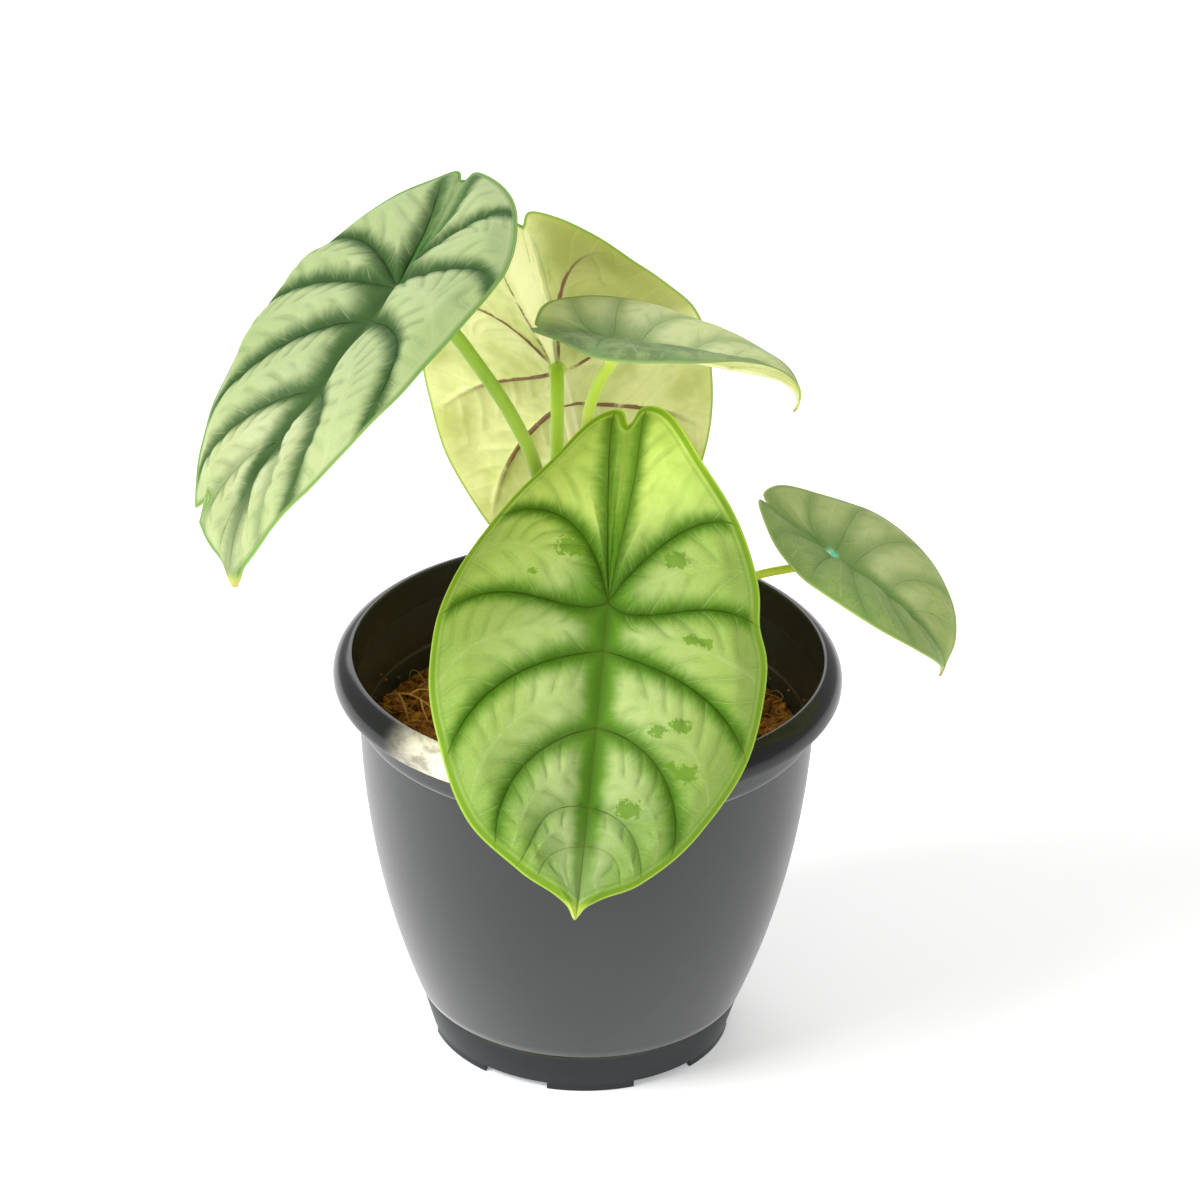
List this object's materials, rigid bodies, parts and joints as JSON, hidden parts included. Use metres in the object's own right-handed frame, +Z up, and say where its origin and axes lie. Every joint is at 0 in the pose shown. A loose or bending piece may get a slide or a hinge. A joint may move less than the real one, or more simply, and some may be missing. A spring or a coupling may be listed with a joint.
{
  "type": "potted silver dragon alocasia",
  "caption": "Young alocasia with quilted, silver-green shield leaves on slim petioles, growing in a round black nursery pot with a rolled lip.",
  "frame": {"origin": "centre of the pot's underside, on the surface it stands on", "axes": "+Z up out of the pot, -Y towards the plant's front, the side that the lowest leaf hangs over"},
  "size_m": [0.1906, 0.155, 0.2328],
  "materials": {
    "pot": "satin charcoal polypropylene, glossier and blue-black on the rolled lip",
    "soil": "damp brown peat and coir, rough",
    "crown": "pale green stem skin with tan leaf scars",
    "petiole": "smooth light green, slightly glossy",
    "blade_front": "young leaf, yellow-green with pale silver pillows and saturated green bands along the veins",
    "blade_left": "mature leaf, silver-green with dark green bands along sunken veins",
    "blade_back": "pale yellow-green underside with raised red-brown veins",
    "blade_upper": "grey-green with faint markings and a tan tip",
    "blade_right": "grey-green, satin, with a darker midrib and light veins"
  },
  "bodies": {
    "root": {"pot": "pot", "soil": "soil", "crown": "crown", "petiole_front": "petiole", "blade_front": "blade_front", "petiole_left": "petiole", "blade_left": "blade_left", "petiole_back": "petiole", "blade_back": "blade_back", "petiole_upper": "petiole", "blade_upper": "blade_upper", "petiole_right": "petiole", "blade_right": "blade_right"}
  },
  "joints": []
}
